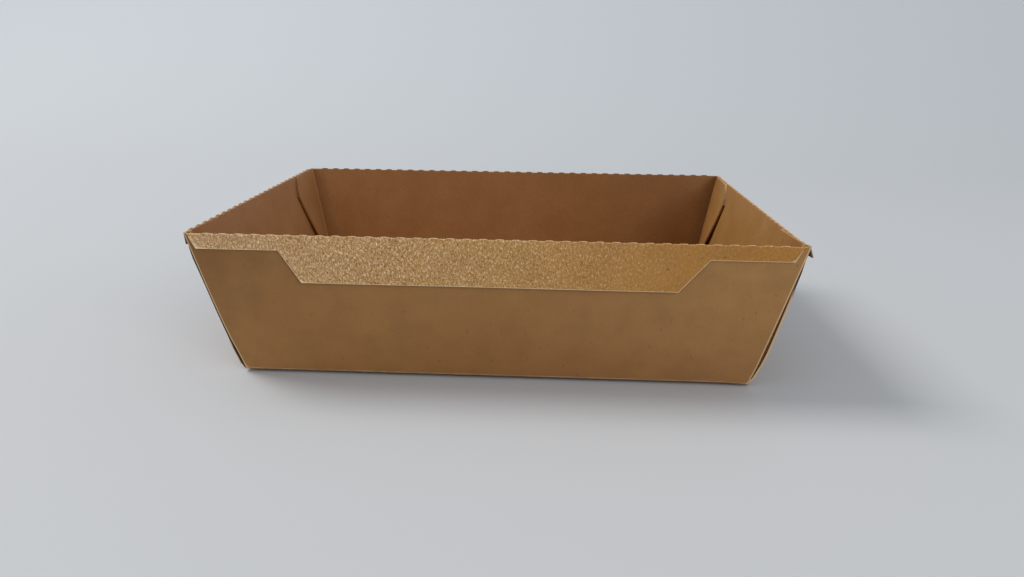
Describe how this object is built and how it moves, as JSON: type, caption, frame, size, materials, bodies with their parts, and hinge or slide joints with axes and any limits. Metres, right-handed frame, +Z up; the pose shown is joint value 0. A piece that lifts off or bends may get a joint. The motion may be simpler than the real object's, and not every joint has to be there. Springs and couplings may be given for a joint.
{
  "type": "kraft food container",
  "caption": "Open rectangular food tray folded from one blank of kraft board, with flared walls, web corners folded inside and a turned-down flange with a cut-crease rim.",
  "frame": {"origin": "under the middle of the base, on the surface the tray stands on", "axes": "+X along the tray's length towards its right end, +Y from the front long side to the back one, +Z up"},
  "size_m": [0.1917, 0.1312, 0.05],
  "materials": {
    "kraft_board": "matte kraft outside, thin glossy film on the inside face"
  },
  "bodies": {
    "root": {"tray": "kraft_board"}
  },
  "joints": []
}
